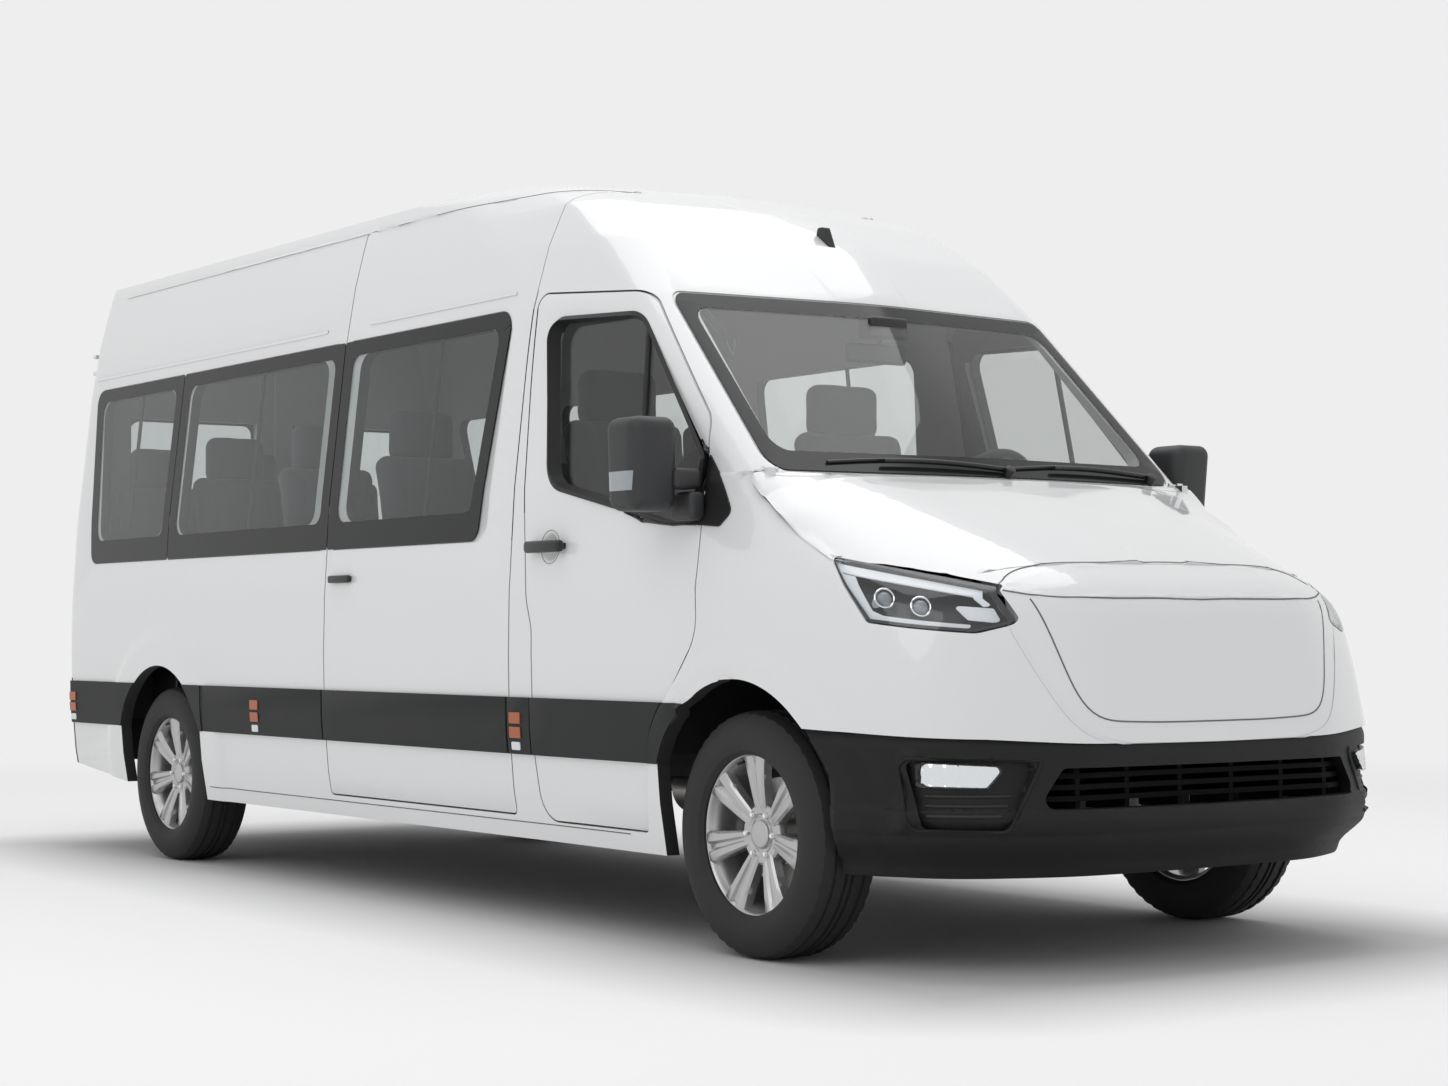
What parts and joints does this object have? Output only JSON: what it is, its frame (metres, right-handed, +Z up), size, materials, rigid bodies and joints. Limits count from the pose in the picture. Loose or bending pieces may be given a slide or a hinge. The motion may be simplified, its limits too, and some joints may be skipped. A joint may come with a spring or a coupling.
{
  "type": "minibus",
  "caption": "High-roof passenger van with opening cab doors, rear barn doors and hood, steered front wheels and a row-seated cabin.",
  "frame": {"origin": "on the ground under the middle of the vehicle's overall length", "axes": "+X forward along the vehicle, +Y to its left, +Z up"},
  "size_m": [6.0248, 2.346, 2.465],
  "materials": {
    "body_paint": "gloss",
    "frame_paint": "satin",
    "tyre": "matt",
    "alloy_wheel": "satin",
    "clear_glass": "gloss",
    "dark_glass": "gloss",
    "lamp_lens": "gloss",
    "red_lens": "gloss",
    "amber_lens": "gloss",
    "dark_plastic": "grained",
    "cabin_plastic": "matt",
    "seat_fabric": "woven",
    "cast_metal": "rough",
    "exhaust_steel": "dull"
  },
  "bodies": {
    "van": {"antenna": "dark_plastic", "arch_liners": "dark_plastic", "cab_frame": "body_paint", "cab_seats": "seat_fabric", "chassis_frame": "frame_paint", "dashboard": "cabin_plastic", "driveline": "cast_metal", "engine_block": "cast_metal", "exhaust": "exhaust_steel", "floor_pan": "frame_paint", "fog_lamps": "lamp_lens", "front_bumper": "dark_plastic", "front_suspension": "cast_metal", "front_wings": "body_paint", "fuel_tank": "cabin_plastic", "grille_panel": "body_paint", "headlamps": "lamp_lens", "lower_grille": "dark_plastic", "marker_lamps": "amber_lens", "nose_panel": "body_paint", "passenger_seats_left": "seat_fabric", "passenger_seats_right": "seat_fabric", "rear_axle": "cast_metal", "rear_bumper": "dark_plastic", "roof_panel": "body_paint", "side_panel_left": "body_paint", "side_panel_right": "body_paint", "side_strips": "dark_plastic", "side_windows_left": "dark_glass", "side_windows_right": "dark_glass", "sliding_door": "body_paint", "steering_wheel": "cabin_plastic", "tail_lamps": "red_lens", "windscreen": "clear_glass", "wipers": "dark_plastic"},
    "door_left": {"door_left": "body_paint", "door_glass_left": "clear_glass", "door_trim_left": "dark_plastic", "mirror_left": "dark_plastic"},
    "door_right": {"door_right": "body_paint", "door_glass_right": "clear_glass", "door_trim_right": "dark_plastic", "mirror_right": "dark_plastic"},
    "rear_door_left": {"rear_door_left": "body_paint", "rear_glass_left": "dark_glass"},
    "rear_door_right": {"rear_door_right": "body_paint", "rear_glass_right": "dark_glass"},
    "hood": {"hood": "body_paint"},
    "knuckle_left": {"knuckle_left": "cast_metal"},
    "knuckle_right": {"knuckle_right": "cast_metal"},
    "wheel_front_left": {"tyre_front_left": "tyre", "rim_front_left": "alloy_wheel"},
    "wheel_front_right": {"tyre_front_right": "tyre", "rim_front_right": "alloy_wheel"},
    "wheel_rear_left": {"tyre_rear_left": "tyre", "rim_rear_left": "alloy_wheel"},
    "wheel_rear_right": {"tyre_rear_right": "tyre", "rim_rear_right": "alloy_wheel"}
  },
  "joints": [
    {"name": "door_left_hinge", "type": "hinge", "parent": "van", "child": "door_left", "pos_m": [1.8765, 0.997, 1.1], "axis": [0, 0, -1], "range_deg": [0, 70]},
    {"name": "door_right_hinge", "type": "hinge", "parent": "van", "child": "door_right", "pos_m": [1.8765, -0.997, 1.1], "axis": [0, 0, 1], "range_deg": [0, 70]},
    {"name": "rear_door_left_hinge", "type": "hinge", "parent": "van", "child": "rear_door_left", "pos_m": [-3.0055, 0.803, 1.4], "axis": [0, 0, -1], "range_deg": [0, 180]},
    {"name": "rear_door_right_hinge", "type": "hinge", "parent": "van", "child": "rear_door_right", "pos_m": [-3.0055, -0.803, 1.4], "axis": [0, 0, 1], "range_deg": [0, 180]},
    {"name": "hood_hinge", "type": "hinge", "parent": "van", "child": "hood", "pos_m": [2.0025, 0, 1.392], "axis": [0, -1, 0], "range_deg": [0, 60]},
    {"name": "steer_left", "type": "hinge", "parent": "van", "child": "knuckle_left", "pos_m": [2.0625, 0.76, 0.35], "axis": [0, 0, 1], "range_deg": [-33, 33]},
    {"name": "steer_right", "type": "hinge", "parent": "van", "child": "knuckle_right", "pos_m": [2.0625, -0.76, 0.35], "axis": [0, 0, 1], "range_deg": [-33, 33]},
    {"name": "wheel_front_left_spin", "type": "hinge", "parent": "knuckle_left", "child": "wheel_front_left", "pos_m": [2.0625, 0.845, 0.35], "axis": [0, 1, 0], "continuous": true},
    {"name": "wheel_front_right_spin", "type": "hinge", "parent": "knuckle_right", "child": "wheel_front_right", "pos_m": [2.0625, -0.845, 0.35], "axis": [0, 1, 0], "continuous": true},
    {"name": "wheel_rear_left_spin", "type": "hinge", "parent": "van", "child": "wheel_rear_left", "pos_m": [-1.9575, 0.845, 0.35], "axis": [0, 1, 0], "continuous": true},
    {"name": "wheel_rear_right_spin", "type": "hinge", "parent": "van", "child": "wheel_rear_right", "pos_m": [-1.9575, -0.845, 0.35], "axis": [0, 1, 0], "continuous": true}
  ],
  "couplings": [
    {"joint": "steer_right", "follows": "steer_left", "ratio": 1}
  ]
}
